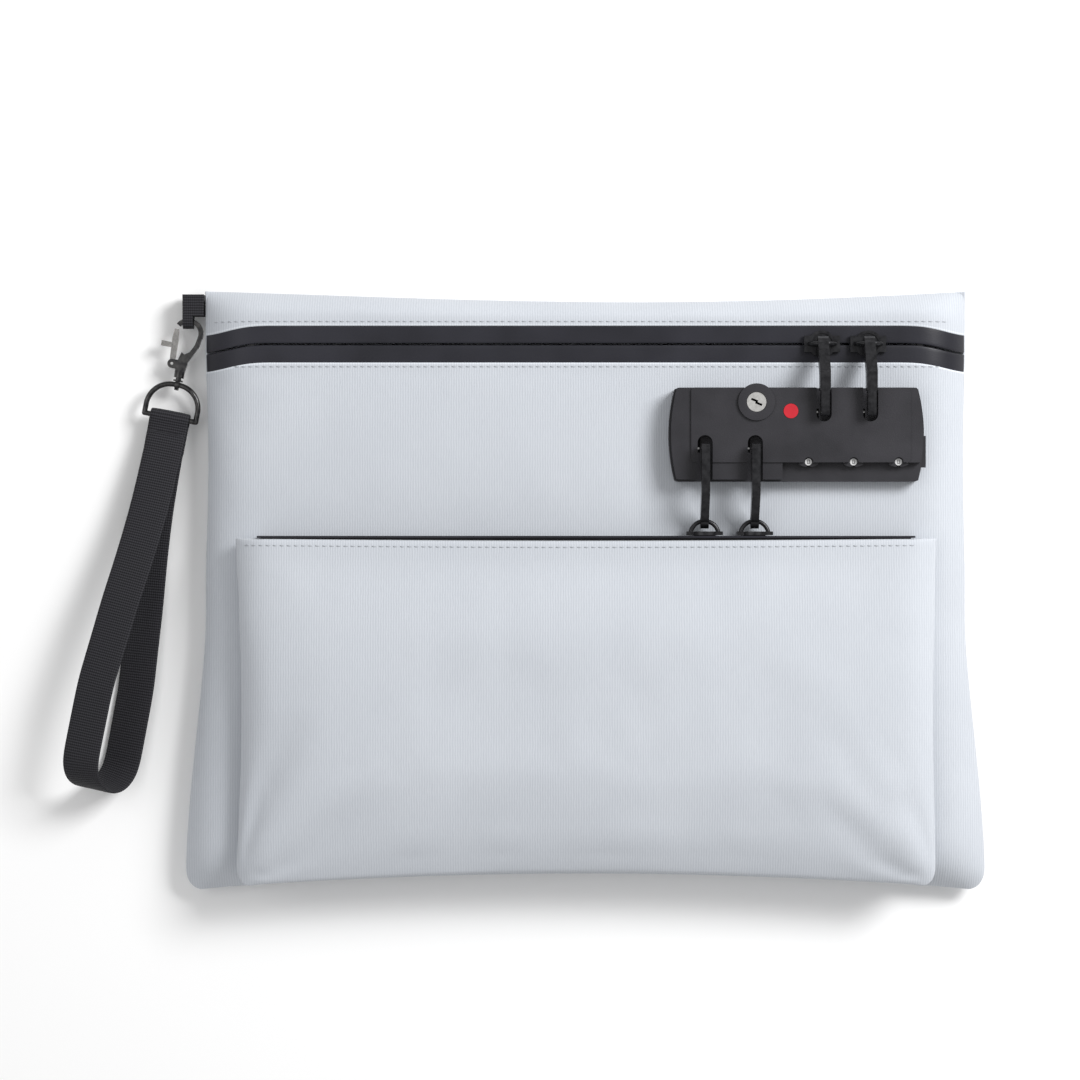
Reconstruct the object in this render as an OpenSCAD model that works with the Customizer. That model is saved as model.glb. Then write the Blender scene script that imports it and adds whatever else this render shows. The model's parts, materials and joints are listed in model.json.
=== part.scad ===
// Lockable cash deposit bag, lying on its back.
// Units are millimetres. +X runs along the width, +Y towards the zipped top edge and +Z out of the front.
// The origin is the centre of the back face.

/* [Bag] */
// Width across the top half
top_w = 316.8; // [315:0.2:318]
// Width across the bottom edge
bottom_w = 334.4; // [332:0.2:337]
// Height from the bottom edge to the top edge
bag_h = 250; // [249:0.5:251]
// Thickness of the filled main compartment
bag_t = 20; // [20:0.5:20.5]
// Thickness of the coated cloth
cloth_t = 1.2; // [1:0.1:1.3]

/* [Front pocket] */
// Width of the pocket
pocket_w = 290; // [286:1:292]
// Height of the pocket
pocket_h = 145.5; // [144:0.5:147]
// Thickness of the filled pocket at its bottom
pocket_t = 16; // [15:0.5:18]

/* [Zips] */
// Height of the main zip's centre line
zip_y = 102; // [101.5:0.5:102.5]
// Visible width of the main zip's tape
tape_w = 15; // [14.5:0.5:15]
// Length of the main zip's pulls, from pivot to tip
main_pull_len = 30.4; // [30:0.2:30.6]
// Length of the pocket zip's pulls, from pivot to tip
pocket_pull_len = 32; // [31.5:0.1:32.2]

/* [Lock] */
// Length of the lock
lock_w = 105; // [104:1:106]
// Depth of the lock
lock_d = 38.5; // [38:0.5:39]
// Height of the lock above the cloth
lock_h = 11; // [11:0.25:11.25]
// Radius of a dial wheel
dial_r = 8.2; // [8:0.1:8.3]

/* [Wrist strap] */
// Width of the strap's webbing
strap_w = 16; // [15:0.5:16.5]
// Thickness of the strap's webbing
strap_t = 1.5; // [1.2:0.1:1.6]
// Angle between the strap and the bag's side
chain_angle = 10.9; // [10:0.1:12]

/* [Hidden] */
$fn = 48;
SMOOTH = 16; // facets round a soft shell's edge
GAP = 0.3;   // clearance between pieces that move past each other

// ---- soft shells -------------------------------------------------------------
edge_r = 4;
plateau_r = 3;
edge_z = 8;
lining_t = 0.5;
half_top = top_w / 2;
half_bottom = bottom_w / 2;
half_h = bag_h / 2;
flare_y = -12;     // below this height the sides flare out
seam_z = edge_z;   // the front and the back meet here
front_z = bag_t;   // the front's flat middle
zip_lo = zip_y - tape_w / 2;
zip_hi = zip_y + tape_w / 2;

// Each entry is [x, y, z, radius] of a sphere; a soft shell is the hull of its spheres.
function both_sides(x, y, z, r) = [[-x, y, z, r], [x, y, z, r]];
bag_form = concat(
    both_sides(half_top - edge_r, half_h - edge_r, edge_z, edge_r),
    both_sides(half_top - edge_r, flare_y, edge_z, edge_r),
    both_sides(half_bottom - edge_r, 8 - half_h, edge_z, edge_r),
    both_sides(half_bottom - 10, edge_r - half_h, edge_z, edge_r),
    both_sides(half_top - 18, half_h - 16, plateau_r, plateau_r),
    both_sides(half_bottom - 22, 16 - half_h, plateau_r, plateau_r),
    both_sides(half_top - 18, half_h - 12, front_z - plateau_r, plateau_r),
    both_sides(half_bottom - 20, 14 - half_h, front_z - plateau_r, plateau_r)
);

pocket_top = 23.1;
pocket_bottom = pocket_top - pocket_h;
pocket_z = front_z + 0.3;
mouth_t = 12;      // thickness of the pocket at its mouth
pocket_half = pocket_w / 2;
pocket_seam_z = pocket_z + 5;
pocket_form = concat(
    both_sides(pocket_half - 2, pocket_top - 2, pocket_z + 2, 2),
    both_sides(pocket_half - 4, pocket_top - 2, pocket_z + mouth_t - 2, 2),
    both_sides(pocket_half - 4, pocket_bottom + 6, pocket_seam_z, 4),
    both_sides(pocket_half - 8, pocket_bottom + 4, pocket_seam_z, 4),
    both_sides(pocket_half - 12, pocket_bottom + 12, pocket_z + 2, 2),
    both_sides(pocket_half - 16, pocket_bottom + 20, pocket_z + pocket_t - 3, 3),
    both_sides(pocket_half - 16, pocket_top - 40, pocket_z + pocket_t - 4, 3)
);

// ---- zips -------------------------------------------------------------------
slit_w = 1.8;              // gap between the two tapes
coil_t = 1.6;
crown_t = 1.5;
crown_r = 5.6;             // round crown of a slider
arch_wire = 0.9;
arch_rise = 0.2;           // the arch's top stands this far above the pull's pivot
neck_w = 1.1;
tongue_w = 5;              // a pull's width, in the plane it swings in
pivot_z = 25.6;            // height of all four pulls' pivots
pull_rise = 9.4;           // the pull's tip lies this far above its pivot
eye_r = 1.7;               // hole round the slider's arch
lock_eye_r = 1.2;          // hole that the lock's pin enters
main_xs = [97.6, 116.7];
pocket_xs = [48.8, 69.4];
pocket_slit_z = pocket_z + mouth_t / 2 - 0.7;
pocket_tape_t = 0.8;
pocket_mouth_y = pocket_top - 1.2;
pocket_zip_y = pocket_mouth_y + pocket_tape_t; // outer face of the pocket zip's tape
pocket_zip_half = 131;
main_coil_half = 145;

// ---- lock -------------------------------------------------------------------
lock_x = 86.6;
lock_y = 64.3;
lock_x0 = lock_x - lock_w / 2;
lock_x1 = lock_x + lock_w / 2;
lock_y0 = lock_y - lock_d / 2;
lock_y1 = lock_y + lock_d / 2;
base_t = 6;
lock_z = front_z + GAP;            // the lock's underside
split_z = lock_z + base_t;         // the cover starts here
face_z = lock_z + lock_h - GAP;    // the cover's front face
corner_r = 4.5;
ledge_y = lock_y0 + 7.8;           // the cover ends here beside the dials
ledge_x = lock_x - 6;
slot_w = 6.2;
slot_floor = split_z - 1.2;
upper_slot_y = 69.6;
lower_slot_y = 64;
end_step = 0.8;                    // the cover's ends are set down below its middle
dial_xs = [91.3, 109.8, 128.3];
dial_y = ledge_y - 1.9 + dial_r;
dial_t = 2.6;
dial_z = split_z + GAP;
dial_pin_r = 1.6;
spring_y = dial_y + dial_r + 0.7;
spring_z = split_z + 0.4;
spring_t = 0.4;
key_x = 69.9;
key_y = 77.6;
key_r = 4;
collar_r = 7.6;
collar_z = face_z + 1;
plate_t = 1;                       // steel plate inside the bag
plate_z = front_z - cloth_t - lining_t - plate_t - 0.1;
screw_r = 1.2;
screw_at = [[lock_x0 + 9, lock_y0 + 6], [lock_x1 - 9, lock_y1 - 9], [lock_x0 + 9, lock_y1 - 9], [82, lock_y0 + 6]];
bar_y = 67.2;
bar_z = lock_z + 1.7;
bar_t = 1.6;
pin_z = split_z + 2.1;
pin_r = 0.6;
main_pin_y = 73.55;
pocket_pin_y = 58.6;
finger_half = 1.3;
arm_off = 5.4;                     // from a slot's centre to the latch arm beside it
arm_half = 1;
latch_travel = 2.4;
button_y = 57.4;
button_d = 13;
button_t = 3;
button_x = lock_x1 - 5.9;          // the latch bar meets the button here

// ---- wrist strap ------------------------------------------------------------
chain_at = [-165.7, 113, 6];       // where the hook hangs in the tab
wire_r = 1.1;
swivel_v = -27;                    // the swivel eye's centre, down the chain
ring_w = 24;
ring_bar_v = -41.5;
wrap_r = 1.4;                      // bore of the strap's wrap round the ring's bar
strap_end_v = -199;
strap_top_v = -47;
turn_r = 13;                       // half gap of the loop at its far end
// Down the chain: [distance, value]
loop_half = [[47, 1.5], [80, 4.5], [120, 10], [155, 13], [186, 13]];
loop_twist = [[47, 0], [75, 2], [120, 10], [155, 15], [199, 16]];   // the webbing's own turn
loop_lean = [[47, 0], [75, 6], [120, 24], [155, 33], [199, 35]];    // turn of one strand round the other
loop_height = [[47, 0], [80, 2.2], [120, 5.4], [155, 7.6], [199, 7.8]];

// ============================ helpers ========================================
module soft(form, inset = 0) {
    hull()
        for (p = form)
            translate([p[0], p[1], p[2]]) sphere(p[3] - inset, $fn = SMOOTH);
}

module shell(form, outer, inner) {
    difference() {
        soft(form, outer);
        soft(form, inner);
    }
}

// A box from one corner to the opposite one.
module span(a, b) {
    translate(a) cube(b - a);
}

module round_plate(x0, y0, x1, y1, r, z0, z1) {
    translate([0, 0, z0])
        linear_extrude(z1 - z0)
            union() {
                translate([x0 + r, y0]) square([x1 - x0 - 2 * r, y1 - y0]);
                translate([x0, y0 + r]) square([x1 - x0, y1 - y0 - 2 * r]);
                for (x = [x0 + r, x1 - r], y = [y0 + r, y1 - r]) translate([x, y]) circle(r);
            }
}

module post(x, y, z0, z1, r) {
    translate([x, y, z0]) cylinder(h = z1 - z0, r = r);
}

module along_x(x0, x1, y, z, r) {
    translate([x0, y, z]) rotate([0, 90, 0]) cylinder(h = x1 - x0, r = r);
}

BIG = 400;
module above_y(y) { span([-BIG, y, -BIG], [BIG, BIG, BIG]); }
module below_y(y) { span([-BIG, -BIG, -BIG], [BIG, y, BIG]); }
module above_z(z) { span([-BIG, -BIG, z], [BIG, BIG, BIG]); }
module below_z(z) { span([-BIG, -BIG, -BIG], [BIG, BIG, z]); }

// ============================ bag ============================================
module back_panel() {
    color("#b9bfc9")
        intersection() {
            shell(bag_form, 0, cloth_t);
            below_z(seam_z);
        }
}

module front_shell(y0, y1) {
    intersection() {
        shell(bag_form, 0, cloth_t);
        span([-BIG, y0, seam_z], [BIG, y1, BIG]);
    }
}

module lock_screw_holes() {
    for (p = screw_at) post(p[0], p[1], plate_z - 1, front_z + 1, screw_r + 0.1);
}

module front_panel() {
    color("#c6ccd6")
        difference() {
            front_shell(-BIG, zip_lo);
            lock_screw_holes();
        }
}

module top_band() {
    color("#c6ccd6") front_shell(zip_hi, BIG);
}

module main_tape_lower() {
    color("#2b2d33") front_shell(zip_lo, zip_y - slit_w / 2);
}

module main_tape_upper() {
    color("#2b2d33") front_shell(zip_y + slit_w / 2, zip_hi);
}

module lining() {
    color("#8d9097")
        difference() {
            shell(bag_form, cloth_t, cloth_t + lining_t);
            span([-BIG, zip_y - 6, seam_z], [BIG, zip_y + 6, BIG]);
            lock_screw_holes();
        }
}

// ============================ pocket =========================================
module pocket_shell() {
    difference() {
        shell(pocket_form, 0, cloth_t - 0.2);
        above_y(pocket_mouth_y);
    }
}

module pocket_back() {
    color("#b9bfc9")
        intersection() {
            pocket_shell();
            below_z(pocket_seam_z);
        }
}

module pocket_front() {
    color("#c9cfd9")
        intersection() {
            pocket_shell();
            above_z(pocket_seam_z);
        }
}

// The pocket's zip closes its mouth, and faces the bag's top edge.
module pocket_tape(z0, z1) {
    color("#24262b")
        span([-pocket_zip_half - 4, pocket_zip_y - pocket_tape_t, z0], [pocket_zip_half + 4, pocket_zip_y, z1]);
}

module pocket_tape_back() {
    pocket_tape(pocket_z + 0.2, pocket_slit_z - slit_w / 2);
}

module pocket_tape_front() {
    pocket_tape(pocket_slit_z + slit_w / 2, pocket_z + mouth_t - 1.2);
}

// ============================ zip coils ======================================
COIL_PITCH = 6;
// One row of coil, drawn as a bar with a groove every few turns.
module coil_row(half, width) {
    color("#1b1c20")
        difference() {
            translate([-half, -width / 2, -coil_t / 2]) cube([2 * half, width, coil_t]);
            for (x = [-half + COIL_PITCH : COIL_PITCH : half - COIL_PITCH / 2])
                translate([x, -width, coil_t / 2 - 0.4]) cube([0.8, 2 * width, 1]);
        }
}

COIL_W = 2.2;
main_coil_z = front_z - cloth_t - coil_t / 2 - 0.1;
module main_coil_upper() {
    translate([0, zip_y + slit_w / 2 + COIL_W / 2, main_coil_z]) coil_row(main_coil_half - 8, COIL_W);
}

module main_coil_lower() {
    translate([0, zip_y - slit_w / 2 - COIL_W / 2, main_coil_z]) coil_row(main_coil_half - 8, COIL_W);
}

module pocket_coil(side) {
    translate([0, pocket_zip_y - pocket_tape_t - coil_t / 2, pocket_slit_z + side * (slit_w + COIL_W) / 2])
        rotate([90, 0, 0])
            coil_row(pocket_zip_half, COIL_W);
}

module pocket_coil_back() { pocket_coil(-1); }

module pocket_coil_front() { pocket_coil(1); }

// A stop is a small metal staple across both rows of coil.
STOP_L = 2.4;
module main_zip_stops() {
    color("#3a3b40")
        for (x = [-main_coil_half + 8 - STOP_L - 0.1, main_coil_half - 8 + 0.1])
            span([x, zip_y - 3.4, main_coil_z - 1], [x + STOP_L, zip_y + 3.4, main_coil_z + coil_t / 2]);
}

module pocket_zip_stops() {
    y = pocket_zip_y - pocket_tape_t;
    color("#3a3b40")
        for (x = [-pocket_zip_half - STOP_L - 0.1, pocket_zip_half + 0.1])
            span([x, y - coil_t, pocket_slit_z - 2.6], [x + STOP_L, y, pocket_slit_z + 2.6]);
}

// ============================ sliders ========================================
// Drawn at the origin: the crown lies in the XY plane at z = 0, the tape is under it and the arch over it.
module slider(tape, arch_h) {
    inner_z = -GAP - tape - coil_t - GAP;
    color("#1d1e22") {
        difference() {
            union() {
                cylinder(h = crown_t, r = crown_r);
                translate([-7.4, -3.4, 0]) cube([14.8, 6.8, crown_t]);
            }
            translate([0, 0, crown_t - 0.5]) cylinder(h = 1, r = crown_r - 1.2);
        }
        translate([-4.5, -neck_w / 2, inner_z]) cube([9, neck_w, crown_t - inner_z - 0.6]);
        translate([-6.5, -3.8, inner_z - 1]) cube([13, 7.6, 1]);
        slider_arch(arch_h);
    }
}

// A round arch, whose top carries the pull's eye.
module slider_arch(h) {
    rotate([90, 0, 0])
        intersection() {
            rotate_extrude() translate([h + arch_rise, 0]) circle(arch_wire, $fn = 24);
            translate([-BIG, crown_t - 0.7, -BIG]) cube(2 * BIG);
        }
}

main_crown_z = front_z + GAP;
module main_slider(x) {
    translate([x, zip_y, main_crown_z]) slider(cloth_t, pivot_z - main_crown_z);
}

pocket_arch = 5.6;
pocket_pivot_y = pocket_zip_y + GAP + pocket_arch;
module pocket_slider(x) {
    translate([x, pocket_zip_y + GAP, pocket_slit_z])
        rotate([-90, 0, 0])
            slider(pocket_tape_t, pocket_arch);
}

module main_slider_left() { main_slider(main_xs[0]); }

module main_slider_right() { main_slider(main_xs[1]); }

module pocket_slider_left() { pocket_slider(pocket_xs[0]); }

module pocket_slider_right() { pocket_slider(pocket_xs[1]); }

// ============================ pulls ==========================================
// Side view of a pull: an eye at the origin, a rise, then a level tongue towards +X.
module pull_outline(reach) {
    half = tongue_w / 2;
    knee = 12.5;
    slope = atan2(pull_rise, knee);
    difference() {
        union() {
            circle(eye_r + 1.2);
            rotate(slope) translate([0, -half]) square([norm([knee, pull_rise]), tongue_w]);
            translate([knee, pull_rise]) circle(half);
            translate([knee, pull_rise - half]) square([reach - knee - half, tongue_w]);
            translate([reach - half, pull_rise]) circle(half);
        }
        circle(eye_r);
    }
}

// The pull lies along -Y from its pivot when dir is -1, and along +Y when it is 1.
module pull(x, y, z, dir, reach, thick, tip_thick) {
    color("#17181b")
        translate([x, y, z])
            difference() {
                rotate([90, 0, 90 * dir])
                    translate([0, 0, -thick / 2])
                        linear_extrude(thick)
                            pull_outline(reach);
                for (side = [-1, 1])
                    translate([side * (tip_thick + 10) / 2 - 5, dir * (reach - 3.5) - 7, 0])
                        cube([10, 14, 20]);
                along_x(-thick, thick, dir * (reach - 3.4), pull_rise, lock_eye_r);
            }
}

module main_pull(x) { pull(x, zip_y, pivot_z, -1, main_pull_len, 4.4, 3.4); }

module pocket_pull(x) { pull(x, pocket_pivot_y, pocket_slit_z, 1, pocket_pull_len, 3.4, 3.4); }

module main_pull_left() { main_pull(main_xs[0]); }

module main_pull_right() { main_pull(main_xs[1]); }

module pocket_pull_left() { pocket_pull(pocket_xs[0]); }

module pocket_pull_right() { pocket_pull(pocket_xs[1]); }

// ============================ lock ===========================================
module slot(x, y_end, dir, z0) {
    post(x, y_end + dir * slot_w / 2, z0, face_z + 1, slot_w / 2);
    y_out = dir > 0 ? lock_y1 + 1 : lock_y0 - 1;
    y_in = y_end + dir * slot_w / 2;
    span([x - slot_w / 2, min(y_in, y_out), z0], [x + slot_w / 2, max(y_in, y_out), face_z + 1]);
}

// The lock's ends bulge a little.
module lock_plate(rim, z0, z1) {
    bulge = 75;
    intersection() {
        round_plate(lock_x0 + rim, lock_y0 + rim, lock_x1 - rim, lock_y1, corner_r - rim, z0, z1);
        post(lock_x0 + rim + bulge, lock_y, z0, z1, bulge, $fn = 180);
        post(lock_x1 - rim - bulge, lock_y, z0, z1, bulge, $fn = 180);
    }
}

module pull_slots(z0) {
    for (x = main_xs) slot(x, upper_slot_y, 1, z0);
    for (x = pocket_xs) slot(x, lower_slot_y, -1, z0);
}

// Room for the latch bar, its arms and their upright fingers, over the whole of their travel.
module latch_room() {
    z0 = bar_z - GAP;
    span([lock_x0 + 7, bar_y - 2.3, z0], [button_x + latch_travel + GAP, bar_y + 2.3, split_z - 0.4]);
    span([button_x - 3, button_y - 2.7, z0], [button_x + latch_travel + GAP, bar_y + 2.3, split_z - 0.4]);
    arm_end = -arm_off + arm_half + latch_travel + GAP;
    for (x = main_xs)
        span([x - arm_off - 1.4, bar_y, z0], [x + arm_end, main_pin_y + finger_half + GAP, pin_z + 1.1]);
    for (x = pocket_xs)
        span([x - arm_off - 1.4, pocket_pin_y - finger_half - GAP, z0], [x + arm_end, bar_y, pin_z + 1.1]);
}

module lock_base() {
    color("#2c2d31")
        difference() {
            lock_plate(0, lock_z, split_z);
            pull_slots(slot_floor);
            latch_room();
            post(key_x, key_y, lock_z + 1.6, split_z + 1, key_r + 0.15);
            span([button_x - GAP, button_y - button_d / 2 - GAP, bar_z - GAP],
                [lock_x1 + 1, button_y + button_d / 2 + GAP, bar_z + button_t + GAP]);
            for (p = screw_at) post(p[0], p[1], lock_z - 1, split_z - 1.5, screw_r);
            for (x = dial_xs) post(x, dial_y, lock_z + 3, split_z + 1, dial_pin_r);
        }
}

module cover_form() {
    low_z = face_z - end_step;
    difference() {
        union() {
            lock_plate(0.8, split_z, low_z);
            round_plate(lock_x0 + 9, ledge_y, lock_x1 - 6, lock_y1, 1.5, low_z, face_z);
        }
        span([ledge_x, lock_y0 - 1, split_z - 1], [lock_x1 + 1, ledge_y - 0.05, face_z + 1]);
    }
}

module lock_cover() {
    color("#333438")
        difference() {
            cover_form();
            pull_slots(split_z - 1);
            for (x = dial_xs) {
                post(x, dial_y, split_z - 1, dial_z + dial_t + GAP, dial_r + GAP);
                post(x, ledge_y + 0.2, dial_z + dial_t - 1, face_z + 1, 1.9);
            }
            post(key_x, key_y, split_z - 1, face_z + 1, collar_r + 0.1);
            latch_room();
            span([dial_xs[0] - 9, spring_y - GAP, split_z - 1], [dial_xs[2] + 8.5, spring_y + spring_t + GAP, spring_z + 1.9]);
            post(84, 73.9, face_z - 0.8, face_z + 1, 3.1);
        }
}

module indicator_dot() {
    color("#c8303f") post(84, 73.9, face_z - 0.8, face_z + 0.2, 3);
}

module dial(i) {
    x = dial_xs[i];
    color("#2a2b2e")
        difference() {
            post(x, dial_y, dial_z, dial_z + dial_t, dial_r);
            post(x, dial_y, dial_z - 1, dial_z + dial_t + 1, dial_pin_r + 0.05);
            // Finger notches round the rim
            for (a = [0 : 36 : 324])
                translate([x, dial_y, dial_z - 1])
                    rotate(a + 18)
                        translate([dial_r + 0.5, 0, 0]) cylinder(h = dial_t + 2, r = 1.1, $fn = 16);
        }
}

module dial_1() { dial(0); }

module dial_2() { dial(1); }

module dial_3() { dial(2); }

module dial_posts() {
    color("#a9a9ab")
        for (x = dial_xs) post(x, dial_y, lock_z + 3, dial_z + dial_t, dial_pin_r);
}

// A leaf spring behind the dials, whose push holds each of them at a digit.
module dial_spring() {
    color("#a9a9ab") span([dial_xs[0] - 8, spring_y, spring_z], [dial_xs[2] + 8, spring_y + spring_t, spring_z + 1.6]);
}

module key_collar() {
    color("#26272a")
        difference() {
            post(key_x, key_y, split_z, collar_z, collar_r);
            post(key_x, key_y, split_z - 1, collar_z + 1, key_r + 0.15);
        }
}

module key_cylinder() {
    color("#d9d9d6")
        difference() {
            post(key_x, key_y, lock_z + 1.7, collar_z - 0.4, key_r);
            // Crooked keyway
            translate([key_x, key_y, collar_z - 3])
                rotate(-22) {
                    translate([-2.5, -0.1, 0]) cube([2.9, 0.9, 4]);
                    translate([-0.4, -0.8, 0]) cube([2.9, 0.9, 4]);
                }
        }
}

// The bar carries an upright finger with a pin beside each slot.
module latch_bar() {
    color("#9b9c9e") {
        span([lock_x0 + 8.5, bar_y - 1.6, bar_z], [button_x, bar_y + 1.6, bar_z + bar_t]);
        span([button_x - 2.6, button_y - 2.4, bar_z], [button_x, bar_y + 1.6, bar_z + bar_t]);
        for (x = main_xs) latch_arm(x, main_pin_y);
        for (x = pocket_xs) latch_arm(x, pocket_pin_y);
    }
}

module latch_arm(x, pin_y) {
    arm_x = x - arm_off;
    span([arm_x - arm_half, min(pin_y, bar_y), bar_z], [arm_x + arm_half, max(pin_y, bar_y), bar_z + bar_t]);
    span([arm_x - arm_half, pin_y - finger_half, bar_z], [arm_x + arm_half, pin_y + finger_half, pin_z + 0.8]);
    along_x(arm_x, x - slot_w / 2 + 0.8, pin_y, pin_z, pin_r);
}

// A fixed strip that keeps the latch bar down in its channel.
module latch_guide() {
    color("#55565a") span([51.5, bar_y - 2.2, bar_z + bar_t + 0.4], [61.5, bar_y + 2.2, split_z - 0.5]);
}

module release_button() {
    color("#232427")
        span([button_x, button_y - button_d / 2, bar_z], [lock_x1 + 0.9, button_y + button_d / 2, bar_z + button_t]);
}

module lock_back_plate() {
    color("#8e9093")
        difference() {
            round_plate(lock_x0 + 3, lock_y0 + 2, lock_x1 - 3, lock_y1 - 2, 4, plate_z, plate_z + plate_t);
            for (p = screw_at) post(p[0], p[1], plate_z - 1, plate_z + plate_t + 1, screw_r + 0.1);
        }
}

module lock_screws() {
    color("#77787b")
        for (p = screw_at) {
            post(p[0], p[1], plate_z - 1.4, plate_z, 2.4);
            post(p[0], p[1], plate_z, split_z - 1.6, screw_r);
        }
}

// ============================ wrist strap ====================================
// Everything from here hangs on one line, drawn down -Y from the hook's top and then turned.
module on_chain() {
    translate(chain_at) rotate([0, 0, -chain_angle]) children();
}

tab_w = 8.9;
tab_t = 1.1;
tab_gap = 2.5;  // inner radius of the tab's fold
tab_fold_y = 112.8;
tab_notch = 4.6;  // the tab is cut away beside the bag, for the hook's shank
module side_tab() {
    x1 = -half_top - 0.7;
    outer = tab_gap + tab_t;
    color("#232428")
        difference() {
            translate([x1 - tab_w, tab_fold_y, chain_at[2]])
                rotate([90, 0, 90])
                    linear_extrude(tab_w)
                        difference() {
                            union() {
                                circle(outer);
                                translate([0, -outer]) square([10.6, 2 * outer]);
                            }
                            circle(tab_gap);
                            translate([0, -tab_gap]) square([8, 2 * tab_gap]);
                        }
            span([x1 - tab_notch, tab_fold_y - 10, -BIG], [BIG, tab_fold_y + 1.7, BIG]);
        }
}

HOOK_T = 2.2;
hook_c = [0.9, -5.6];    // centre of the hook's round mouth
hook_r = 5.3;
stem_v = -21;
gate_pivot = [-3.4, -19.2];

// An arc-shaped bar from angle a0 to a1, made of a ring cut by a wedge.
module arc_bar(r, w, a0, a1) {
    difference() {
        circle(r + w / 2);
        circle(r - w / 2);
        polygon(concat([[0, 0]], [for (k = [0 : 6]) 3 * r * [cos(a1 + (a0 + 360 - a1) * k / 6), sin(a1 + (a0 + 360 - a1) * k / 6)]]));
    }
}

module hook_outline() {
    translate(hook_c) arc_bar(hook_r, 2, -12, 150);
    polygon([[5.2, -6.2], [7.1, -5.6], [6.4, -10.5], [3, -17.5], [2.4, -22.4], [-1.6, -22.4],
        [-1.6, -18.5], [-0.9, -16], [-0.3, -13.8], [0.9, -14.6], [3, -13.2], [4.6, -9.8]]);
}

module clasp_hook() {
    color("#4a4b50")
        on_chain()
            difference() {
                union() {
                    translate([0, 0, -HOOK_T / 2]) linear_extrude(HOOK_T) hook_outline();
                    // Lug that holds the gate's pin, split round the gate
                    for (z = [-HOOK_T / 2, 0.6])
                        translate([gate_pivot[0], gate_pivot[1], z]) linear_extrude(0.5)
                            union() {
                                circle(1.9);
                                translate([0, -1.9]) square([3, 3.8]);
                            }
                    // Barrel for the swivel
                    translate([0.4, -24.6, 0]) rotate([-90, 0, 0]) cylinder(h = 2.6, r = 2.1);
                }
                translate([0.4, -25.8, 0]) rotate([-90, 0, 0]) cylinder(h = 2.8, r = 1.25);
                translate([gate_pivot[0], gate_pivot[1], -3]) cylinder(h = 6, r = 0.6);
            }
}

module clasp_gate() {
    color("#8a8580")
        on_chain()
            difference() {
                union() {
                    translate([0, 0, -0.5])
                        linear_extrude(1)
                            union() {
                                polygon([[-4.6, -19.2], [-2.3, -19.2], [-2.6, -9], [-3.2, -4.6], [-5, -4.6], [-5.3, -9]]);
                                translate(gate_pivot) circle(1.5);
                            }
                    translate([-9.4, -12.6, -0.9]) cube([4.8, 2.2, 1.8]);
                }
                translate([gate_pivot[0], gate_pivot[1], -3]) cylinder(h = 6, r = 0.62);
            }
}

module gate_pin() {
    color("#6c6d70") on_chain() translate([gate_pivot[0], gate_pivot[1], -1.4]) cylinder(h = 2.8, r = 0.58);
}

// A coil round the pin's axis would be too small to see; a short leaf stands below the gate's heel.
module gate_spring() {
    color("#b0b0b0") on_chain() translate([-4.4, -21.5, -0.5]) cube([2.8, 0.4, 1]);
}

module clasp_swivel() {
    color("#9a9692")
        on_chain() {
            translate([0.4, -25.9, 0]) rotate([-90, 0, 0]) cylinder(h = 2.6, r = 1.15);
            difference() {
                union() {
                    translate([0.4, swivel_v - 0.6, 0]) rotate([0, 90, 0]) cylinder(h = 1.6, r = 2.3, center = true);
                    translate([0.4, -26.2, 0]) rotate([-90, 0, 0]) cylinder(h = 0.7, r = 2);
                }
                translate([0.4, swivel_v - 0.6, 0]) rotate([0, 90, 0]) cylinder(h = 6, r = 1.45, center = true);
            }
        }
}

// Half-round wire with a straight bar across its foot.
module d_ring() {
    half = ring_w / 2 - wire_r;
    r_bend = half - 1;
    v_top = swivel_v - 0.6;
    color("#77787a")
        on_chain() {
            // Straight bar, sides and top, joined by quarter rings
            along_x(-1, 1, v_top, 0, wire_r);
            along_x(-half, half, ring_bar_v, 0, wire_r);
            for (side = [-1, 1]) {
                translate([side * (half - r_bend), v_top - r_bend, 0])
                    rotate([0, 0, side > 0 ? 0 : 90])
                        rotate_extrude(angle = 90) translate([r_bend, 0]) circle(wire_r, $fn = 24);
                translate([side * half, ring_bar_v, 0])
                    rotate([-90, 0, 0])
                        cylinder(h = v_top - r_bend - ring_bar_v, r = wire_r);
                translate([side * half, ring_bar_v, 0]) sphere(wire_r, $fn = 24);
            }
        }
}

// ---- the webbing loop, swept as a closed band ----
STRANDS = 16;   // rings down each strand
TURN = 10;      // rings round the far end
turn_v = strap_end_v + turn_r;

function along(k) = -strap_top_v + (-turn_v + strap_top_v) * k / STRANDS;
// [distance down the chain, offset across the gap]
function loop_at(i) =
    i <= STRANDS ? [along(i), lookup(along(i), loop_half)]
    : i < STRANDS + TURN ? let (a = 90 - 180 * (i - STRANDS) / TURN)
        [-turn_v + turn_r * cos(a), turn_r * sin(a)]
    : [along(2 * STRANDS + TURN - i), -lookup(along(2 * STRANDS + TURN - i), loop_half)];
function loop_point(i) = let (p = loop_at(i), lean = lookup(p[0], loop_lean))
    [-sin(lean) * p[1], -p[0], cos(lean) * p[1] + lookup(p[0], loop_height)];
COUNT = 2 * STRANDS + TURN + 1;
function tangent(i) = let (d = loop_point(min(i + 1, COUNT - 1)) - loop_point(max(i - 1, 0))) d / norm(d);
function across(i) = let (t = lookup(loop_at(i)[0], loop_twist), w = [cos(t), 0, sin(t)],
    s = w - (w * tangent(i)) * tangent(i)) s / norm(s);
function band_ring(i) = let (p = loop_point(i), w = across(i) * strap_w / 2,
    n = cross(tangent(i), across(i)) * strap_t / 2) [p - w - n, p + w - n, p + w + n, p - w + n];

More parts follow.
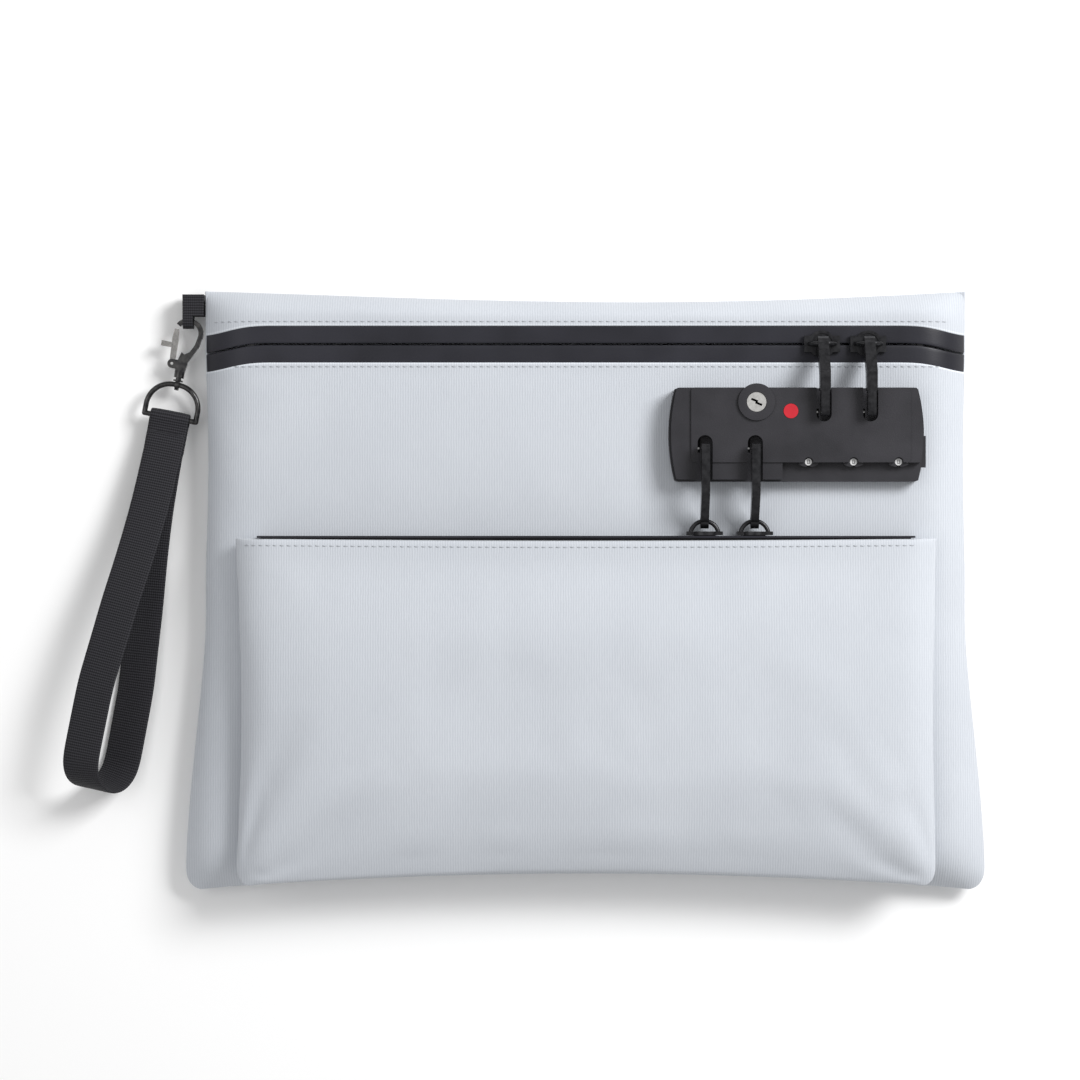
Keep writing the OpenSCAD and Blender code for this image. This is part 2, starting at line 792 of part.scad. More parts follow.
module band() {
    rings = [for (i = [0 : COUNT - 1]) each band_ring(i)];
    sides = [for (i = [0 : COUNT - 2], j = [0 : 3], half = [0, 1])
        let (a = 4 * i + j, b = 4 * i + (j + 1) % 4)
        half == 0 ? [a, b + 4, b] : [a, a + 4, b + 4]];
    last = 4 * (COUNT - 1);
    polyhedron(rings, concat(sides, [[0, 2, 3], [0, 1, 2], [last, last + 2, last + 1], [last, last + 3, last + 2]]));
}

module strap_loop() {
    outer = wrap_r + strap_t;
    join_v = strap_top_v - 1;
    color("#26272b")
        on_chain()
            union() {
                // The wrap round the ring's bar, closed under it by the sewn block
                difference() {
                    union() {
                        along_x(-strap_w / 2, strap_w / 2, ring_bar_v, 0, outer);
                        span([-strap_w / 2, join_v, -outer + 0.6], [strap_w / 2, ring_bar_v, outer - 0.6]);
                    }
                    along_x(-strap_w, strap_w, ring_bar_v, 0, wrap_r);
                }
                band();
            }
}

back_panel();
front_panel();
top_band();
lining();
pocket_back();
pocket_front();
main_tape_upper();
main_tape_lower();
main_coil_upper();
main_coil_lower();
main_zip_stops();
pocket_tape_back();
pocket_tape_front();
pocket_coil_back();
pocket_coil_front();
pocket_zip_stops();
main_slider_left();
main_slider_right();
pocket_slider_left();
pocket_slider_right();
main_pull_left();
main_pull_right();
pocket_pull_left();
pocket_pull_right();
lock_base();
lock_cover();
lock_back_plate();
lock_screws();
indicator_dot();
dial_1();
dial_2();
dial_3();
dial_posts();
dial_spring();
key_collar();
key_cylinder();
latch_bar();
latch_guide();
release_button();
side_tab();
clasp_hook();
clasp_gate();
gate_pin();
gate_spring();
clasp_swivel();
d_ring();
strap_loop();
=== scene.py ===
"""Looks of the lockable cash deposit bag. Lengths are millimetres until a mesh is made."""
import json
import math

import bpy
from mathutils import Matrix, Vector, noise
from mathutils.bvhtree import BVHTree


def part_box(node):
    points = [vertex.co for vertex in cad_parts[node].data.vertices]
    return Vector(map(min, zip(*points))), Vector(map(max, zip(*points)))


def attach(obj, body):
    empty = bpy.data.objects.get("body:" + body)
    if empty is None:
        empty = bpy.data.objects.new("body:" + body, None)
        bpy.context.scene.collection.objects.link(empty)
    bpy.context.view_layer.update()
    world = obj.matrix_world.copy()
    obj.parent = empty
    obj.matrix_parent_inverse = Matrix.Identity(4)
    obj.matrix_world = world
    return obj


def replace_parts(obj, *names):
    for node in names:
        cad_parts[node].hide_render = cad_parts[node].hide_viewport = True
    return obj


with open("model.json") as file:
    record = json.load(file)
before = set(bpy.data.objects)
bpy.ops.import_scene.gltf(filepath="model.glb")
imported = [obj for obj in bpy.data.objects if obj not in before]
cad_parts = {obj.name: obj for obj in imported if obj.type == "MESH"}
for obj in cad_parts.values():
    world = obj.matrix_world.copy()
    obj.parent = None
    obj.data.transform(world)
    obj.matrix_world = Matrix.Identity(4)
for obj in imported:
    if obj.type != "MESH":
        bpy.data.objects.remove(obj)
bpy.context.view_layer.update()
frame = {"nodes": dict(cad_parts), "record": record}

MM = 0.001


def box_mm(node):
    low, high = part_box(node)
    return [v / MM for v in low], [v / MM for v in high]


BACK_LOW, BACK_HIGH = box_mm("back_panel")
BAND_LOW, BAND_HIGH = box_mm("top_band")
PANEL_LOW, PANEL_HIGH = box_mm("front_panel")
POCKET_LOW, POCKET_HIGH = box_mm("pocket_front")
POCKET_FLOOR = box_mm("pocket_back")[0][2]
POCKET_TAPE_HIGH = box_mm("pocket_tape_front")[1]
LOCK_LOW, LOCK_HIGH = box_mm("lock_base")

FRONT_Z = PANEL_HIGH[2]      # the bag's flat front
SEAM_Z = PANEL_LOW[2]        # where the front and the back are sewn
CLOTH_T = 1.1
ZIP_LO = PANEL_HIGH[1]
ZIP_HI = BAND_LOW[1]
ZIP_Y = (ZIP_LO + ZIP_HI) / 2


# ------------------------------------------------------------------ node helpers
class Nodes:
    """A material's node tree, with short calls for the nodes used here."""

    def __init__(self, name, rough, metal=0.0, specular=0.5, sheen=0.0):
        self.material = bpy.data.materials.new(name)
        self.material.use_nodes = True
        self.tree = self.material.node_tree
        self.shader = self.tree.nodes["Principled BSDF"]
        self.shader.inputs["Roughness"].default_value = rough
        self.shader.inputs["Metallic"].default_value = metal
        self.shader.inputs["Specular IOR Level"].default_value = specular
        self.shader.inputs["Sheen Weight"].default_value = sheen
        self.shader.inputs["Sheen Roughness"].default_value = 0.5
        self.coords = self.tree.nodes.new("ShaderNodeTexCoord")

    def node(self, kind, **values):
        made = self.tree.nodes.new(kind)
        for key, value in values.items():
            setattr(made, key, value)
        return made

    def link(self, out, into):
        self.tree.links.new(out, into)
        return out

    def mapped(self, scale, space="Object", turn=(0, 0, 0)):
        mapping = self.node("ShaderNodeMapping")
        mapping.inputs["Scale"].default_value = scale
        mapping.inputs["Rotation"].default_value = turn
        self.link(self.coords.outputs[space], mapping.inputs["Vector"])
        return mapping.outputs["Vector"]

    def noise(self, vector, scale, detail=3.0, rough=0.5):
        made = self.node("ShaderNodeTexNoise")
        made.inputs["Scale"].default_value = scale
        made.inputs["Detail"].default_value = detail
        made.inputs["Roughness"].default_value = rough
        self.link(vector, made.inputs["Vector"])
        return made.outputs["Fac"]

    def wave(self, vector, scale, direction="X", distortion=0.0):
        made = self.node("ShaderNodeTexWave", bands_direction=direction)
        made.inputs["Scale"].default_value = scale
        made.inputs["Distortion"].default_value = distortion
        made.inputs["Detail"].default_value = 1.0
        self.link(vector, made.inputs["Vector"])
        return made.outputs["Fac"]

    def math(self, operation, a, b):
        made = self.node("ShaderNodeMath", operation=operation)
        for socket, value in zip(made.inputs, (a, b)):
            if isinstance(value, (int, float)):
                socket.default_value = value
            else:
                self.link(value, socket)
        return made.outputs[0]

    def ramp(self, factor, low, high, start=0.0, end=1.0):
        made = self.node("ShaderNodeValToRGB")
        made.color_ramp.elements[0].position = start
        made.color_ramp.elements[1].position = end
        made.color_ramp.elements[0].color = (*low, 1)
        made.color_ramp.elements[1].color = (*high, 1)
        self.link(factor, made.inputs["Fac"])
        return made.outputs["Color"]

    def colour(self, out):
        self.link(out, self.shader.inputs["Base Color"])

    def roughness(self, factor, low, high):
        made = self.node("ShaderNodeMapRange")
        made.inputs["To Min"].default_value = low
        made.inputs["To Max"].default_value = high
        self.link(factor, made.inputs["Value"])
        self.link(made.outputs["Result"], self.shader.inputs["Roughness"])

    def bump(self, height, distance, strength=1.0):
        made = self.node("ShaderNodeBump")
        made.inputs["Strength"].default_value = strength
        made.inputs["Distance"].default_value = distance
        self.link(height, made.inputs["Height"])
        self.link(made.outputs["Normal"], self.shader.inputs["Normal"])


WAVES_PER_UNIT = 20 / (2 * math.pi)   # a wave texture's bands in one unit at a scale of 1


def cloth_material(name, low, high, rib=1.05, thread=0.62, depth=0.00008):
    """Ribbed woven cloth: upright ribs crossed by fine threads."""
    made = Nodes(name, rough=0.82, specular=0.25, sheen=0.15)
    vector = made.mapped((1, 1, 1))
    ribs = made.wave(vector, 1 / (rib * MM) / WAVES_PER_UNIT, "X", 1.6)
    threads = made.wave(vector, 1 / (thread * MM) / WAVES_PER_UNIT, "Y", 0.4)
    slubs = made.noise(made.mapped((2600, 240, 900)), 1.0, 2.0)
    blotch = made.noise(vector, 22, 3.0)
    weave = made.math("ADD", made.math("MULTIPLY", ribs, 0.5), made.math("MULTIPLY", threads, 0.1))
    weave = made.math("ADD", weave, made.math("MULTIPLY", slubs, 0.5))
    tone = made.math("ADD", made.math("MULTIPLY", weave, 0.55), made.math("MULTIPLY", blotch, 0.25))
    made.colour(made.ramp(tone, low, high, 0.25, 0.8))
    made.roughness(slubs, 0.75, 0.9)
    made.bump(weave, depth)
    return made.material


def webbing_material(name, space="UV", scale=1.0):
    """Black webbing, ribbed across its length and twilled along it. Its coordinates are made millimetres."""
    made = Nodes(name, rough=0.75, specular=0.18, sheen=0.04)
    vector = made.mapped((scale, scale, scale), space)
    across = made.wave(vector, 1 / 1.1 / WAVES_PER_UNIT, "Y", 0.3)
    along = made.wave(vector, 1 / 0.9 / WAVES_PER_UNIT, "X", 0.3)
    fuzz = made.noise(vector, 2.2, 4.0)
    height = made.math("ADD", made.math("MULTIPLY", across, 0.6), made.math("MULTIPLY", along, 0.35))
    height = made.math("ADD", height, made.math("MULTIPLY", fuzz, 0.4))
    made.colour(made.ramp(height, (0.006, 0.006, 0.0075), (0.034, 0.0335, 0.039), 0.3, 1.0))
    made.roughness(fuzz, 0.6, 0.85)
    made.bump(height, 0.00025)
    return made.material


def film_material(name):
    """Coated water-resistant zip tape: smooth and slightly shiny, with the weave just showing."""
    made = Nodes(name, rough=0.42, specular=0.28)
    vector = made.mapped((1, 1, 1))
    grain = made.noise(made.mapped((900, 2200, 900)), 1.0, 2.0)
    smear = made.noise(vector, 35, 2.0)
    made.colour(made.ramp(smear, (0.010, 0.010, 0.0145), (0.019, 0.019, 0.0265), 0.3, 0.7))
    made.roughness(smear, 0.34, 0.5)
    made.bump(grain, 0.00003)
    return made.material


def plastic_material(name, low, high, rough=0.5):
    """Spark-textured moulded plastic."""
    made = Nodes(name, rough=rough, specular=0.3)
    vector = made.mapped((1, 1, 1))
    grain = made.noise(vector, 2600, 2.0, 0.6)
    smear = made.noise(vector, 60, 3.0)
    made.colour(made.ramp(smear, low, high, 0.3, 0.7))
    made.roughness(smear, rough - 0.06, rough + 0.06)
    made.bump(grain, 0.00005)
    return made.material


def metal_material(name, low, high, rough, metal=1.0):
    """Plated or lacquered metal, worn in patches."""
    made = Nodes(name, rough=rough, metal=metal)
    vector = made.mapped((1, 1, 1))
    wear = made.noise(vector, 420, 4.0, 0.65)
    fine = made.noise(vector, 3200, 2.0)
    made.colour(made.ramp(wear, low, high, 0.35, 0.75))
    made.roughness(wear, rough - 0.07, rough + 0.1)
    made.bump(fine, 0.00001)
    return made.material


def gloss_material(name, low, high, rough=0.15):
    made = Nodes(name, rough=rough, specular=0.6)
    smear = made.noise(made.mapped((1, 1, 1)), 300, 2.0)
    made.colour(made.ramp(smear, low, high))
    made.roughness(smear, rough, rough + 0.1)
    made.bump(smear, 0.00002)
    return made.material


def keyway_material(name):
    """Satin key face whose sunk keyway is painted near-black, a painted shade in the recess."""
    made = Nodes(name, rough=0.25, metal=0.9)
    vector = made.mapped((1, 1, 1))
    wear = made.noise(vector, 900, 3.0)
    parts = made.node("ShaderNodeSeparateXYZ")
    made.link(vector, parts.inputs[0])
    top = box_mm("key_cylinder")[1][2] * MM
    # 1 on the key's top face and 0 below it; everything below the face gets near-black painted shade
    depth = made.math("GREATER_THAN", parts.outputs["Z"], top - 0.0003)
    metal = made.ramp(wear, (0.62, 0.61, 0.59), (0.86, 0.85, 0.83))
    mix = made.node("ShaderNodeMix", data_type="RGBA")
    made.link(depth, mix.inputs["Factor"])
    mix.inputs["A"].default_value = (0.004, 0.004, 0.004, 1)
    made.link(metal, mix.inputs["B"])
    made.colour(mix.outputs["Result"])
    made.roughness(wear, 0.2, 0.35)
    made.bump(wear, 0.00001)
    return made.material


MATS = {
    "cloth": cloth_material("cloth", (0.46, 0.485, 0.525), (0.58, 0.605, 0.645)),
    # cloth_fold_highlight is the cloth made paler: a painted highlight for the rolled fold beside the zip.
    "cloth_fold_highlight": cloth_material("cloth_fold_highlight", (0.56, 0.59, 0.64), (0.72, 0.75, 0.79)),
    "lining": cloth_material("lining", (0.14, 0.145, 0.16), (0.2, 0.205, 0.22), rib=0.8, thread=0.8),
    "film": film_material("zip_film"),
    "zip_coil": plastic_material("zip_coil", (0.008, 0.008, 0.01), (0.02, 0.02, 0.024), 0.4),
    "zip_metal": metal_material("zip_metal", (0.012, 0.012, 0.014), (0.035, 0.035, 0.038), 0.28, 0.6),
    "steel": metal_material("steel", (0.42, 0.42, 0.42), (0.6, 0.6, 0.59), 0.3),
    "lock_plastic": plastic_material("lock_plastic", (0.019, 0.0185, 0.022), (0.029, 0.028, 0.033), 0.4),
    "red_lens": gloss_material("red_lens", (0.42, 0.01, 0.02), (0.62, 0.02, 0.035)),
    "gunmetal": metal_material("gunmetal", (0.03, 0.03, 0.032), (0.1, 0.098, 0.096), 0.22),
    "bright_metal": metal_material("bright_metal", (0.2, 0.195, 0.19), (0.36, 0.35, 0.34), 0.2),
    "webbing": webbing_material("webbing"),
    "tab_webbing": webbing_material("tab_webbing", "Object", 1 / MM),
    "thread_pale": cloth_material("thread_pale", (0.36, 0.38, 0.41), (0.5, 0.52, 0.55), 0.5, 0.3),
    "key_face": keyway_material("key_face"),
    "disc": gloss_material("disc", (0.5, 0.5, 0.5), (0.68, 0.68, 0.68), 0.3),
}


# ------------------------------------------------------------------ mesh helpers
def new_piece(name, verts, faces, material, body):
    """A smooth mesh piece whose points are in millimetres."""
    mesh = bpy.data.meshes.new(name)
    mesh.from_pydata([[c * MM for c in v] for v in verts], [], faces)
    mesh.update()
    made = bpy.data.objects.new(name, mesh)
    bpy.context.scene.collection.objects.link(made)
    mesh.materials.append(MATS[material])
    mesh.polygons.foreach_set("use_smooth", [True] * len(mesh.polygons))
    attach(made, body)
    return made


def subdivide(piece, levels=1):
    made = piece.modifiers.new("smooth", "SUBSURF")
    made.levels = levels
    made.render_levels = levels


def thicken(piece, thickness=CLOTH_T):
    made = piece.modifiers.new("cloth", "SOLIDIFY")
    made.thickness = thickness * MM
    made.offset = -1


def ease(t):
    t = min(max(t, 0.0), 1.0)
    return t * t * (3 - 2 * t)


def roll(distance, reach, fullness=0.75):
    """Rise of a filled edge, from 0 at its seam to 1 a reach away from it."""
    t = min(max(distance / reach, 0.0), 1.0)
    return math.sin(t * math.pi / 2) ** fullness


def spread(low, high, step, near=(0.7, 1.8, 3.2, 5.0, 7.5, 11.0)):
    """Places from low to high, a step apart, and closer together at both ends."""
    inner_low = low + near[-1]
    inner_high = high - near[-1]
    count = max(2, round((inner_high - inner_low) / step))
    middle = [inner_low + (inner_high - inner_low) * i / count for i in range(count + 1)]
    return [low] + [low + n for n in near[:-1]] + middle + [high - n for n in near[-2::-1]] + [high]


def ripple(x, y, size, seed):
    return noise.noise(Vector((x / size, y / size, seed)))


def pillow(rows, columns, edges, warp, front, under):
    """Points and faces of a closed soft form: front and under share the points of the outline."""
    verts, front_at, under_at = [], {}, {}
    last_row = len(rows) - 1
    for i, row in enumerate(rows):
        left, right = edges(row)
        places = spread(0.0, 1000.0, 1000.0 / (columns - 13), (2.5, 6.5, 12, 19, 28, 42))
        places = [left + (right - left) * p / 1000.0 for p in places]
        for j, x in enumerate(places):
            on_edge = i in (0, last_row) or j in (0, len(places) - 1)
            away = (min(x - left, right - x), row - rows[0], rows[-1] - row)
            y = warp(x, row)
            front_at[i, j] = len(verts)
            verts.append([x, y, front(x, row, *away)])
            if on_edge:
                under_at[i, j] = front_at[i, j]
            else:
                under_at[i, j] = len(verts)
                verts.append([x, y, under(x, row, *away)])
    count = len(places)
    faces, row_of = [], []
    for at, order in ((front_at, 1), (under_at, -1)):
        for i in range(last_row):
            for j in range(count - 1):
                face = [at[i, j], at[i, j + 1], at[i + 1, j + 1], at[i + 1, j]]
                faces.append(face[::order])
                row_of.append(i if order == 1 else -1)
    return verts, faces, row_of


def inflate(verts, faces, free, pressure, cap, lowest):
    """Blow the form up a little as cloth. free(x, y, z) is 0 where it is held and 1 where it isn't."""
    mesh = bpy.data.meshes.new("inflating")
    mesh.from_pydata([[c * MM for c in v] for v in verts], [], faces)
    scratch = bpy.data.objects.new("inflating", mesh)
    bpy.context.scene.collection.objects.link(scratch)
    held = scratch.vertex_groups.new(name="held")
    loose = [free(*v) for v in verts]
    for i, amount in enumerate(loose):
        held.add([i], 1 - amount, "REPLACE")
    cloth = scratch.modifiers.new("inflate", "CLOTH")
    cloth.settings.quality = 6
    cloth.settings.mass = 0.25
    cloth.settings.tension_stiffness = 12
    cloth.settings.compression_stiffness = 12
    cloth.settings.bending_stiffness = 0.4
    cloth.settings.use_pressure = True
    cloth.settings.uniform_pressure_force = pressure
    cloth.settings.vertex_group_mass = "held"
    cloth.settings.effector_weights.gravity = 0
    for number in range(1, 21):
        bpy.context.scene.frame_set(number)
    state = scratch.evaluated_get(bpy.context.evaluated_depsgraph_get())
    result = []
    for before, after, amount in zip(verts, state.data.vertices, loose):
        move = Vector(after.co) / MM - Vector(before)
        if move.length > cap:
            move = move.normalized() * cap
        point = Vector(before) + move * amount
        point.z = max(point.z, lowest)
        result.append(list(point))
    bpy.context.scene.frame_set(1)
    bpy.data.objects.remove(scratch)
    return result


def piece_of(name, verts, faces, keep, material, fold=None):
    """The chosen faces as a piece of cloth on the bag. The faces in fold get a paler copy of the cloth, a painted
    highlight along its folded edge.
    """
    chosen = [face for face, wanted in zip(faces, keep) if wanted]
    used = sorted({v for face in chosen for v in face})
    number = {v: i for i, v in enumerate(used)}
    made = new_piece(name, [verts[v] for v in used], [[number[v] for v in f] for f in chosen],
                     material, "bag")
    if fold:
        # the fold faces get the paler cloth, a painted highlight
        made.data.materials.append(MATS["cloth_fold_highlight"])
        folded = [f for f, wanted in zip(fold, keep) if wanted]
        made.data.polygons.foreach_set("material_index", [int(f) for f in folded])
    thicken(made)
    subdivide(made)
    return made


# ------------------------------------------------------------------ bag
TOP_HALF = BAND_HIGH[0]
BOTTOM_HALF = BACK_HIGH[0]
BAG_BOTTOM, BAG_TOP = BACK_LOW[1], BACK_HIGH[1]
FLARE_Y = -12.0
CORNER = 9.0
TOP_DIP = 4.4
BOTTOM_ARCH = 6.5
SLIT = 0.6


def bag_edges(y):
    flare = ease((FLARE_Y - y) / (FLARE_Y - BAG_BOTTOM)) ** 0.8
    half = TOP_HALF + (BOTTOM_HALF - TOP_HALF) * flare
    near = min(y - BAG_BOTTOM, CORNER) / CORNER
    half -= CORNER * 0.8 * (1 - math.sqrt(1 - (1 - near) ** 2))
    waist = 1.1 * math.sin(math.pi * min(max((y - 10) / 90, 0), 1))
    return -half + waist, half - waist * 0.7


def bag_warp(x, y):
    along = min(max((x + TOP_HALF) / (2 * TOP_HALF), 0), 1)
    down = TOP_DIP * math.sin(math.pi * along ** 1.2) * ease((y - ZIP_HI) / (BAG_TOP - ZIP_HI))
    up = BOTTOM_ARCH * math.sin(math.pi * along) ** 0.8 * ease((-70 - y) / (-70 - BAG_BOTTOM))
    near_zip = ease((y - ZIP_Y + 45) / 40) * ease((BAG_TOP - y) / 14)
    droop = 3.4 * ease((abs(x) - TOP_HALF + 24) / 24) * near_zip
    return y - down + up - droop


def bag_front(x, y, side, bottom, top):
    rise = roll(side, 19) * roll(bottom, 18) * roll(top, 10, 0.9)
    wave = 0.9 * ripple(x, y, 34, 3.1) + 0.4 * ripple(x, y * 2.4, 13, 7.7)
    wave *= bag_free(x, y, FRONT_Z) * ease(side / 10)
    return SEAM_Z + (FRONT_Z - SEAM_Z) * rise + min(wave, 0.25)


def bag_under(x, y, side, bottom, top):
    return SEAM_Z * (1 - roll(side, 16) * roll(bottom, 16) * roll(top, 14))


def bag_free(x, y, z):
    """Held flat under the lock and at the zip; free elsewhere on the front and sides."""
    if z < SEAM_Z - 0.5:
        return 0.0
    lock = max(LOCK_LOW[0] - 6 - x, x - LOCK_HIGH[0] - 6, LOCK_LOW[1] - 6 - y, y - LOCK_HIGH[1] - 6)
    zip_gap = abs(y - ZIP_Y) - (ZIP_HI - ZIP_Y) - 1
    pocket = POCKET_HIGH[1] + 8 - y
    inside_pocket = x > POCKET_LOW[0] + 4 and x < POCKET_HIGH[0] - 4 and pocket > 0
    return 0.0 if inside_pocket else ease(lock / 12) * ease(zip_gap / 6)


def make_bag():
    low_rows = spread(BAG_BOTTOM, ZIP_LO, 6.0)
    zip_rows = [ZIP_LO + 3, ZIP_Y, ZIP_HI - 3]
    high_rows = [ZIP_HI + n for n in (0.0, 0.8, 2.5, 5.0, 7.5, 10.0, 12.0, 13.6, 14.7)]
    rows = [r for r in low_rows if r < ZIP_LO - 1.0] + [ZIP_LO - 0.8, ZIP_LO] + zip_rows
    rows += [r for r in high_rows if r < BAG_TOP - 0.3] + [BAG_TOP]
    verts, faces, row_of = pillow(rows, 66, bag_edges, bag_warp, bag_front, bag_under)
    verts = inflate(verts, faces, bag_free, 3.0, 4.0, 0.0)
    middle = [(rows[i] + rows[i + 1]) / 2 if i >= 0 else None for i in row_of]
    body = [m is None or m < ZIP_LO for m in middle]
    band = [m is not None and m > ZIP_HI for m in middle]
    # rows at the zip's folded cloth edges, which get the paler cloth as a painted highlight
    fold = [m is not None and (ZIP_LO - 1.0 < m < ZIP_LO or ZIP_HI < m < ZIP_HI + 1.0) for m in middle]
    cloth = piece_of("bag_cloth", verts, faces, body, "cloth", fold)
    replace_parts(cloth, "back_panel", "front_panel", "lining")
    top = piece_of("top_band_cloth", verts, faces, band, "cloth", fold)
    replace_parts(top, "top_band")
    for side, name, node in ((-1, "zip_film_lower", "main_tape_lower"), (1, "zip_film_upper", "main_tape_upper")):
        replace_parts(make_film(name, side), node)
    return [cloth, top]


def make_film(name, side):
    """Half of the coated tape: a flat strip from under the cloth's fold to the slit, tucked in at the ends."""
    verts, faces = [], []
    edge = ZIP_Y + side * (ZIP_HI - ZIP_Y + 2.0)
    inner = ZIP_Y + side * SLIT / 2
    rows = [edge, (edge + inner) / 2, inner + side * 1.0, inner + side * 0.25, inner]
    drops = [0.0, 0.0, 0.0, 0.05, 0.3]
    columns = spread(0.0, 1000.0, 14.0, (2.5, 6.5, 12, 19, 28, 42))
    for row, drop in zip(rows, drops):
        left, right = bag_edges(row)
        for c in columns:
            x = left + 0.5 + (right - left - 1.0) * c / 1000.0
            away = (min(x - left, right - x) , row - BAG_BOTTOM, BAG_TOP - row)
            z = SEAM_Z + (FRONT_Z - SEAM_Z) * roll(away[0], 19)
            verts.append([x, bag_warp(x, row), z - 0.35 - drop])
    count = len(columns)
    for i in range(len(rows) - 1):
        for j in range(count - 1):
            face = [i * count + j, i * count + j + 1, (i + 1) * count + j + 1, (i + 1) * count + j]
            faces.append(face if side < 0 else face[::-1])
    made = new_piece(name, verts, faces, "film", "bag")
    thicken(made, 0.6)
    subdivide(made)
    return made


# ------------------------------------------------------------------ pocket
POCKET_BOTTOM, POCKET_TOP = POCKET_LOW[1], POCKET_HIGH[1]
POCKET_SEAM = POCKET_LOW[2]
MOUTH_Z = POCKET_TAPE_HIGH[2]
POCKET_SIDE = POCKET_HIGH[0]


def pocket_edges(y):
    waist = 2.4 * math.sin(math.pi * (y - POCKET_BOTTOM) / (POCKET_TOP - POCKET_BOTTOM))
    near = min(y - POCKET_BOTTOM, CORNER) / CORNER
    round_off = CORNER * 0.7 * (1 - math.sqrt(1 - (1 - near) ** 2))
    half = POCKET_SIDE - round_off - 0.4
    return -half + waist, half - waist * 0.5


def pocket_warp(x, y):
    along = min(max((x + POCKET_SIDE) / (2 * POCKET_SIDE), 0), 1)
    up = BOTTOM_ARCH * math.sin(math.pi * along) ** 0.8 * ease((-60 - y) / (-60 - POCKET_BOTTOM))
    sag = 0.9 * math.sin(math.pi * along) * ease((y - POCKET_TOP + 30) / 30)
    return y + up - sag


def pocket_front(x, y, side, bottom, top):
    high = POCKET_HIGH[2] - POCKET_SEAM - 0.8
    mouth = MOUTH_Z - POCKET_SEAM
    full = mouth + 0.9 + (high - mouth - 0.9) * ease(top / 55) * (0.75 + 0.25 * roll(bottom, 40))
    rise = roll(side, 15) * roll(bottom, 19)
    lip = roll(top, 2.2, 0.8)
    wave = 1.0 * ripple(x, y, 40, 1.3) + 0.5 * ripple(x * 1.8, y, 17, 5.2)
    wave *= ease(top / 25) * ease(side / 14) * ease(bottom / 14)
    height = (mouth * (1 - lip) + full * lip) * rise
    return POCKET_SEAM + max(height, 0) + min(wave, 0.6)


def pocket_under(x, y, side, bottom, top):
    fall = roll(side, 7) * roll(bottom, 7)
    return POCKET_SEAM - (POCKET_SEAM - POCKET_FLOOR) * fall


def pocket_free(x, y, z):
    if z < POCKET_SEAM + 2:
        return 0.0
    return ease((POCKET_TOP - 4 - y) / 18)


def make_pocket():
    rows = spread(POCKET_BOTTOM, POCKET_TOP, 6.0)
    verts, faces, _ = pillow(rows, 60, pocket_edges, pocket_warp, pocket_front, pocket_under)
    verts = inflate(verts, faces, pocket_free, 4.0, 3.0, POCKET_FLOOR)
    cloth = piece_of("pocket_cloth", verts, faces, [True] * len(faces), "cloth")
    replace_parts(cloth, "pocket_back", "pocket_front")
    return cloth


# ------------------------------------------------------------------ stitching
def surface_of(pieces):
    """The finished surfaces of some pieces, as one tree to drop points on."""
    graph = bpy.context.evaluated_depsgraph_get()
    verts, faces = [], []
    for piece in pieces:
        mesh = piece.evaluated_get(graph).to_mesh()
        start = len(verts)
        verts += [v.co.copy() for v in mesh.vertices]
        faces += [[start + i for i in p.vertices] for p in mesh.polygons]
    return BVHTree.FromPolygons(verts, faces)


def stitches(name, tree, path, material, pitch=2.9, length=1.9, radius=0.24):
    """Short threads along a path of (x, y), lying on the surface below."""
    verts, faces = [], []
    lengths = [math.dist(a, b) for a, b in zip(path, path[1:])]
    count = int(sum(lengths) / pitch)
    for k in range(count):
        ends = []
        for shift in (0, length / 2, length):
            left = k * pitch + shift
            at = 0
            while at < len(lengths) - 1 and left > lengths[at]:
                left -= lengths[at]
                at += 1
            a, b = path[at], path[at + 1]
            t = left / lengths[at]
            spot = Vector((a[0] + (b[0] - a[0]) * t, a[1] + (b[1] - a[1]) * t, 60)) * MM
            hit = tree.ray_cast(spot, Vector((0, 0, -1)))[0]
            if hit is None:
                break
            ends.append(hit / MM)
        if len(ends) < 3:
            continue
        thread(verts, faces, ends, radius)
    made = new_piece(name, verts, faces, material, "bag")
    return made


def thread(verts, faces, points, radius, sides=6):
    start = len(verts)
    lifts = (-0.5, 0.55, -0.5)
    forward = (points[-1] - points[0]).normalized()
    side = forward.cross(Vector((0, 0, 1))).normalized()
    up = side.cross(forward)
    for point, lift in zip(points, lifts):
        for k in range(sides):
            a = 2 * math.pi * k / sides
            verts.append(list(point + up * radius * (lift + math.sin(a)) + side * radius * math.cos(a)))
    rings = len(points)
    for r in range(rings - 1):
        for k in range(sides):
            a, b = start + r * sides + k, start + r * sides + (k + 1) % sides
            faces.append([a, b, b + sides, a + sides])
    faces.append([start + k for k in reversed(range(sides))])
    faces.append([start + (rings - 1) * sides + k for k in range(sides)])


def make_stitching(cloths, pocket):
    tree = surface_of(cloths)
    reach = TOP_HALF - 4
    low = [(x, ZIP_LO - 1.8) for x in range(int(-reach), int(reach), 6)]
    high = [(x, ZIP_HI + 1.9) for x in range(int(-reach), int(reach), 6)]
    stitches("zip_stitches_lower", tree, low, "thread_pale")
    stitches("zip_stitches_upper", tree, high, "thread_pale")
    tree = surface_of([pocket])
    reach = POCKET_SIDE - 4
    top = [(x, pocket_warp(x, POCKET_TOP - 3.0)) for x in range(int(-reach), int(reach), 6)]
    stitches("pocket_stitches", tree, top, "thread_pale")


